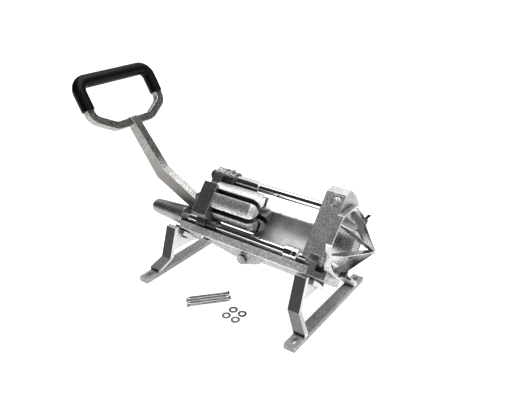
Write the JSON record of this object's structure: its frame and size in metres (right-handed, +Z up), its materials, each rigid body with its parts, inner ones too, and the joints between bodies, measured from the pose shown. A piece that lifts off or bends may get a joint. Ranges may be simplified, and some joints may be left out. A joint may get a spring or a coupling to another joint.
{
  "type": "french fry cutter",
  "caption": "Bench lever press that pushes a potato along a trough on two guide rods and through a ring of radial wedge blades.",
  "frame": {"origin": "middle of the front foot bar's underside, on the table", "axes": "+X is the way the potato is pushed, towards the blades; +Z is up; +Y runs across the machine to the side of the upper guide rod"},
  "size_m": [0.5784, 0.2547, 0.3551],
  "materials": {
    "cast": "sand-cast aluminium, bead blasted",
    "polished": "polished cast aluminium",
    "dark_cast": "black enamel on cast legs",
    "chrome_rod": "hard chrome, bright",
    "blade_steel": "ground stainless steel",
    "sheet_steel": "rolled stainless sheet",
    "zinc": "zinc-plated steel",
    "black_oxide": "black oxide steel",
    "grip_vinyl": "dipped black vinyl"
  },
  "bodies": {
    "stand": {"head_casting": "cast", "blade_ring": "polished", "wedge_blades": "blade_steel", "blade_hub": "blade_steel", "ring_studs": "zinc", "wing_nuts": "black_oxide", "near_guide_rod": "chrome_rod", "far_guide_rod": "chrome_rod", "bumper_collar": "chrome_rod", "rod_front_nuts": "zinc", "rod_rear_caps": "black_oxide", "rear_casting": "polished", "trough": "sheet_steel", "trough_keel": "cast", "side_rail": "cast", "trough_screws": "zinc", "front_legs": "dark_cast", "rear_legs": "dark_cast", "front_foot_bar": "cast", "rear_foot_bar": "cast", "foot_screws": "black_oxide", "frame_bolts": "zinc", "fulcrum_bolt": "black_oxide", "fulcrum_nut": "black_oxide", "mounting_screws": "zinc", "mounting_washers": "zinc"},
    "carriage": {"carriage_plate": "cast", "near_bush": "black_oxide", "far_sleeve": "chrome_rod", "sleeve_screw": "zinc", "pusher_head": "polished", "pusher_screws": "zinc", "lever_pin": "zinc", "pin_clips": "black_oxide"},
    "lever": {"lever_arm": "polished", "hand_grip": "grip_vinyl"},
    "link": {"swing_link": "polished", "link_bolt": "black_oxide"}
  },
  "joints": [
    {"name": "carriage_slide", "type": "slide", "parent": "stand", "child": "carriage", "axis": [1, 0, 0], "range_m": [0, 0.145]},
    {"name": "lever_swing", "type": "hinge", "parent": "carriage", "child": "lever", "pos_m": [-0.2664, 0, 0.1485], "axis": [0, 1, 0], "range_deg": [0, 98.41]},
    {"name": "link_swing", "type": "hinge", "parent": "stand", "child": "link", "pos_m": [-0.16234, -0.014, 0.0605], "axis": [0, 1, 0], "range_deg": [0, 58.26]}
  ],
  "couplings": [
    {"joint": "lever_swing", "follows": "carriage_slide", "rad_per_m": 11.84},
    {"joint": "link_swing", "follows": "carriage_slide", "rad_per_m": 7.0069}
  ]
}
